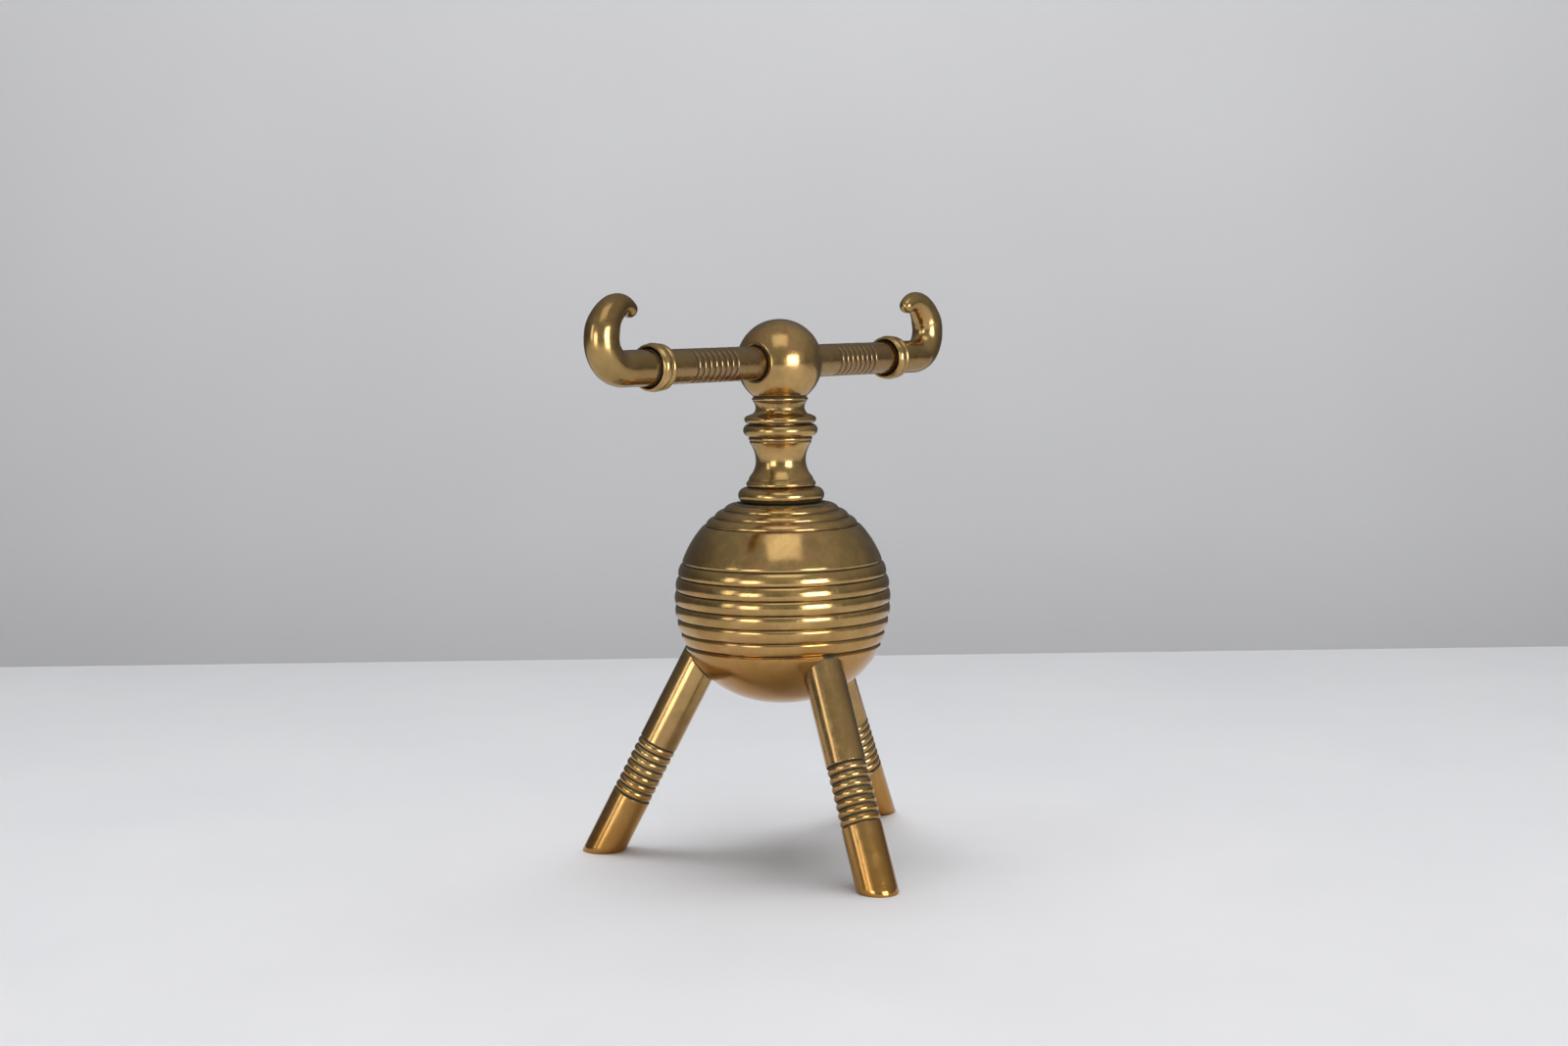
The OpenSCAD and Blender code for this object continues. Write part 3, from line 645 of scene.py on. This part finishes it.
def make_head_ball():
    port = HEAD_R - PORT_CUT
    root = port - ARM_GRIP
    rim_r = math.sqrt(HEAD_R ** 2 - port ** 2)
    seat_r, tie_hole_r, lip = ARM_R + 0.12, TIE_R + 0.1, 0.18
    rim_angle = math.degrees(math.atan2(port, rim_r))
    side = [(tie_hole_r, root), (seat_r, root), (seat_r, port - lip), (seat_r + lip, port),
            (rim_r - lip, port)]
    outline = [(r, -x) for r, x in side]
    outline += arc((0, 0), HEAD_R, -rim_angle + 0.8, rim_angle - 0.8, 120)
    outline += side[::-1]
    # Painted shade at the ports, where the arms go into the ball.
    dirt_and_shade_spots = [(seat_r, s * port, 0.75, 1.0) for s in (-1, 1)]
    piece = lathe("head_ball", outline, dirt_and_shade_spots, 256, ON_BAR @ ALONG_X)
    # Painted shade round the ball where the socket's cup meets it.
    points = coordinates(piece)
    ring = np.hypot(np.hypot(points[:, 0], points[:, 1]) - CUP_R, points[:, 2] - (HEAD_Z + CUP_H))
    add_joint_shade(piece, 0.85 * np.clip(1 - ring / 1.0, 0, 1))
    make_uneven(piece, 0.040, 6, 9)
    finish_piece(piece, "head", "brass_head", BRASS_HEAD, "head_ball")


def make_arm(name, side, node):
    root = HEAD_R - PORT_CUT - ARM_GRIP
    outline = [(ARM_BORE_R, root), (ARM_R - 0.2, root), (ARM_R, root + 0.2)]
    # The first two spots are painted shade where the arm goes into the head ball and the collar; the groove
    # spots below are soil.
    dirt_and_shade_spots = [(ARM_R, HEAD_R - PORT_CUT, 0.5, 0.9), (ARM_R, ARM_REACH - 3.0, 0.5, 0.6)]
    half, lip = 0.44, 0.10
    for k in range(ARM_REEDS + 1):
        middle = ARM_REED_START + k * ARM_REED_PITCH
        outline += [(ARM_R, middle - half - lip), (ARM_R - 0.05, middle - half),
                    (ARM_R - ARM_REED_DEPTH, middle - 0.06), (ARM_R - ARM_REED_DEPTH, middle + 0.06),
                    (ARM_R - 0.05, middle + half), (ARM_R, middle + half + lip)]
        dirt_and_shade_spots.append((ARM_R - ARM_REED_DEPTH, middle, 0.60, 1.0))
    outline += [(ARM_R, ARM_REACH), (ARM_BORE_R, ARM_REACH)]
    place = ON_BAR @ Matrix.Rotation(math.pi * (side < 0), 4, "Z") @ ALONG_X
    piece = lathe(name, outline, dirt_and_shade_spots, 144, place, 0.6)
    make_uneven(piece, 0.010, 9, 10 + side)
    finish_piece(piece, "head", "brass_head", BRASS_ARM, node)


def make_collar(name, side, node):
    """A three-bead collar whose dished lip faces down the bar on both sides."""
    length, crest = 6.2, 7.6
    lip_r, ring_r = (HORN_R, ARM_R) if side < 0 else (ARM_R, HORN_R)
    outline = bead(0, 0.85, crest - 0.75, crest - 0.35)
    outline += bead(0.85, 4.05, crest - 0.8, crest, 20)
    outline += bead(4.05, length, crest - 0.95, crest - 0.25, 16)
    outline += [(ring_r, length), (ring_r, length / 2), (lip_r, length / 2), (lip_r, 1.3),
                (crest - 1.05, 0.02)]
    # The spots in the bead grooves are soil; those at the dished lip and at the ring are painted shade where
    # the tubes go into the collar.
    dirt_and_shade_spots = [(crest - 0.8, 0.85, 0.35, 0.8), (crest - 0.95, 4.05, 0.4, 0.9), (lip_r, 1.3, 0.9, 0.9),
             (ring_r + 0.1, length, 0.7, 0.9)]
    place = ON_BAR @ Matrix.Translation(((side * ARM_REACH - length / 2) * MM, 0, 0)) @ ALONG_X
    piece = lathe(name, outline, dirt_and_shade_spots, 192, place, 0.4)
    make_uneven(piece, 0.022, 4, 12 + side)
    finish_piece(piece, "head", "brass_collar", BRASS_COLLAR, node)


# ---- the horns ------------------------------------------------------------------------------

HORN_SIDES = 72


def horn_path(step=2.0):
    """The curl's centre line: (x, z, heading in degrees) after each step of turning."""
    x, z, turned = 0.0, 0.0, 0.0
    made = [(x, z, turned)]
    for radius, angle in HORN_BENDS:
        steps = round(angle / step)
        for _ in range(steps):
            middle = math.radians(turned + angle / steps / 2)
            chord = 2 * radius * math.sin(math.radians(angle / steps / 2))
            x += chord * math.cos(middle)
            z += chord * math.sin(middle)
            turned += angle / steps
            made.append((x, z, turned))
    return made


def make_horn(name, side, node):
    path = horn_path()
    whole = sum(angle for _, angle in HORN_BENDS)
    rings = [(s, 0.0, 0.0, HORN_R) for s in np.linspace(-HORN_STEM, -0.8, 20)]
    for x, z, heading in path:
        u = heading / whole
        near, far = (HORN_R, HORN_MID_R) if u < 0.5 else (HORN_MID_R, HORN_TIP_R)
        rings.append((x, z, heading, near + (far - near) * (2 * u - (u >= 0.5))))
    tip_x, tip_z, heading = path[-1]
    for a in np.radians(np.arange(8, 88, 8)):
        reach = HORN_TIP_R * math.sin(a)
        rings.append((tip_x + reach * math.cos(math.radians(heading)),
                      tip_z + reach * math.sin(math.radians(heading)), heading, HORN_TIP_R * math.cos(a)))
    points, faces, grime_and_shade = [], [], []
    for x, z, turned, r in rings:
        t = math.radians(turned)
        for k in range(HORN_SIDES):
            a = k * math.tau / HORN_SIDES
            out = r * math.cos(a)
            points.append((x - math.sin(t) * out, r * math.sin(a), z + math.cos(t) * out))
            # Painted shade on the stem, just where it leaves the collar.
            grime_and_shade.append(max(0, 1 - abs(x + HORN_STEM - 3.3) / 1.0) if turned == 0 else 0)
    for i in range(len(rings) - 1):
        for k in range(HORN_SIDES):
            j = (k + 1) % HORN_SIDES
            low, high = i * HORN_SIDES, (i + 1) * HORN_SIDES
            faces.append((low + k, low + j, high + j, high + k))
    last = (len(rings) - 1) * HORN_SIDES
    faces.append(list(range(HORN_SIDES))[::-1])
    faces.append(list(range(last, last + HORN_SIDES)))
    piece = add_mesh(name, points, faces, grime_and_shade)
    start = Matrix.Translation(((ARM_REACH + HORN_STEM) * MM, 0, 0))
    piece.data.transform(ON_BAR @ Matrix.Rotation(math.pi * (side < 0), 4, "Z") @ start)
    make_uneven(piece, 0.05, 6, 14 + side)
    finish_piece(piece, "head", "brass_head", BRASS_HORN, node)


make_upper_shell()
make_lower_shell()
for leg in range(len(LEGS)):
    make_leg(leg)
make_neck()
make_socket()
make_head_ball()
for label, sign in (("left", -1), ("right", 1)):
    make_arm("arm_tube_" + label, sign, "arm_" + label)
    make_collar("bead_collar_" + label, sign, "collar_" + label)
    make_horn("curl_" + label, sign, "horn_" + label)

# ---- the CAD nodes that stay: fixings inside the ball, the neck and the bar --------------------

for subpart in frame["record"]["subparts"]:
    node = frame["nodes"][subpart["node"]]
    if not node.hide_render:
        node.data.materials.clear()
        node.data.materials.append(STEEL if subpart["material_slot"] == "steel" else BRASS_INNER)


# ---- table, backdrop and light --------------------------------------------------------------


def cloth(name):
    """White cotton: a fine weave and slight shading."""
    s = Shader(name)
    at = s.place()
    tone = s.noise(at, 90, 3)
    weave = s.noise(s.place(stretch=(1, 3, 1)), 0.5, 2)
    s.put(s.surface.inputs["Base Color"], s.mix(tone, (0.60, 0.605, 0.622), (0.665, 0.665, 0.682)))
    s.put(s.surface.inputs["Roughness"], 0.9)
    s.put(s.surface.inputs["Specular IOR Level"], 0.15)
    bump = s.add("Bump", {"Height": weave, "Distance": 0.0002, "Strength": 0.4})
    s.put(s.surface.inputs["Normal"], bump.outputs[0])
    return s.material


def paper(name):
    """Pale grey backdrop paper."""
    s = Shader(name)
    tone = s.noise(s.place(), 300, 2)
    s.put(s.surface.inputs["Base Color"], s.mix(tone, (0.60, 0.60, 0.605), (0.66, 0.66, 0.665)))
    s.put(s.surface.inputs["Roughness"], 0.95)
    s.put(s.surface.inputs["Specular IOR Level"], 0.1)
    return s.material


def add_stage(name, points, faces, material):
    mesh = bpy.data.meshes.new(name)
    mesh.from_pydata(points, [], faces)
    mesh.materials.append(material)
    mesh.polygons.foreach_set("use_smooth", [True] * len(mesh.polygons))
    piece = bpy.data.objects.new(name, mesh)
    piece.rotation_euler.z = math.radians(CAMERA_AZIMUTH + 90)
    bpy.context.scene.collection.objects.link(piece)
    return piece


TABLE_FAR, TABLE_NEAR, TABLE_HALF, TABLE_EDGE = 0.40, -2.0, 2.4, 0.5
BACKDROP_FAR, BACKDROP_HALF, BACKDROP_LOW, BACKDROP_HIGH = 1.25, 2.2, -0.8, 2.2
add_stage("table",
          [(-TABLE_HALF, TABLE_NEAR, 0), (TABLE_HALF, TABLE_NEAR, 0),
           (TABLE_HALF, TABLE_FAR, 0), (-TABLE_HALF, TABLE_FAR, 0),
           (-TABLE_HALF, TABLE_FAR, -TABLE_EDGE), (TABLE_HALF, TABLE_FAR, -TABLE_EDGE)],
          [(0, 1, 2, 3), (3, 2, 5, 4)], cloth("cloth"))
backdrop = add_stage("backdrop",
                     [(-BACKDROP_HALF, BACKDROP_FAR, BACKDROP_LOW),
                      (BACKDROP_HALF, BACKDROP_FAR, BACKDROP_LOW),
                      (BACKDROP_HALF, BACKDROP_FAR, BACKDROP_HIGH),
                      (-BACKDROP_HALF, BACKDROP_FAR, BACKDROP_HIGH)],
                     [(0, 1, 2, 3)], paper("paper"))
backdrop.visible_glossy = False


def add_softbox(name, azimuth, distance, height, width, tall, power, aim=0.11, mirrored=True):
    """A soft rectangular light that faces the object, azimuth measured from the camera's.

    mirrored says whether polished metal shows it.
    """
    data = bpy.data.lights.new(name, "AREA")
    data.shape = "RECTANGLE"
    data.size, data.size_y = width, tall
    data.energy = power
    light = bpy.data.objects.new(name, data)
    light.location = towards(CAMERA_AZIMUTH + azimuth, distance, height)
    facing = light.location - Vector((0, 0, aim))
    light.rotation_euler = facing.to_track_quat("Z", "Y").to_euler()
    light.visible_camera = False
    light.visible_glossy = mirrored
    bpy.context.scene.collection.objects.link(light)


add_softbox("softbox_left", -35, 1.30, 0.24, 0.46, 0.44, 2.9)
add_softbox("softbox_right", 36, 1.30, 0.28, 0.62, 0.50, 8.6)
add_softbox("window_left", -60, 1.30, 0.44, 0.26, 0.60, 1.2)
add_softbox("ceiling", 4, 0.75, 1.55, 0.95, 0.95, 2.8)
add_softbox("table_fill", 18, 0.8, 1.5, 1.2, 1.2, 7.8, mirrored=False)
add_softbox("backdrop_fill", 180, 0.35, 1.7, 1.6, 0.8, 27.5, aim=0.9, mirrored=False)


def light_room():
    """A dim room, brighter in front of the object and overhead; a camera sees it pale."""
    world = bpy.data.worlds.new("world")
    bpy.context.scene.world = world
    world.use_nodes = True
    tree = world.node_tree
    background = tree.nodes["Background"]
    way = tree.nodes.new("ShaderNodeTexCoord")
    front = tree.nodes.new("ShaderNodeVectorMath")
    front.operation = "DOT_PRODUCT"
    front.inputs[1].default_value = towards(CAMERA_AZIMUTH + 24, 0.42, 0.91)
    tree.links.new(way.outputs["Generated"], front.inputs[0])
    level = tree.nodes.new("ShaderNodeMapRange")
    level.interpolation_type = "SMOOTHSTEP"
    for socket, value in (("From Min", -0.3), ("From Max", 1.0), ("To Min", 0.12), ("To Max", 0.45)):
        level.inputs[socket].default_value = value
    tree.links.new(front.outputs["Value"], level.inputs["Value"])
    seen = tree.nodes.new("ShaderNodeLightPath")
    strength = tree.nodes.new("ShaderNodeMix")
    strength.inputs["B"].default_value = 0.62
    tree.links.new(seen.outputs["Is Camera Ray"], strength.inputs["Factor"])
    tree.links.new(level.outputs["Result"], strength.inputs["A"])
    tree.links.new(strength.outputs["Result"], background.inputs["Strength"])
    background.inputs["Color"].default_value = (0.97, 0.98, 1.0, 1)


light_room()

bpy.context.scene.view_settings.view_transform = "Standard"
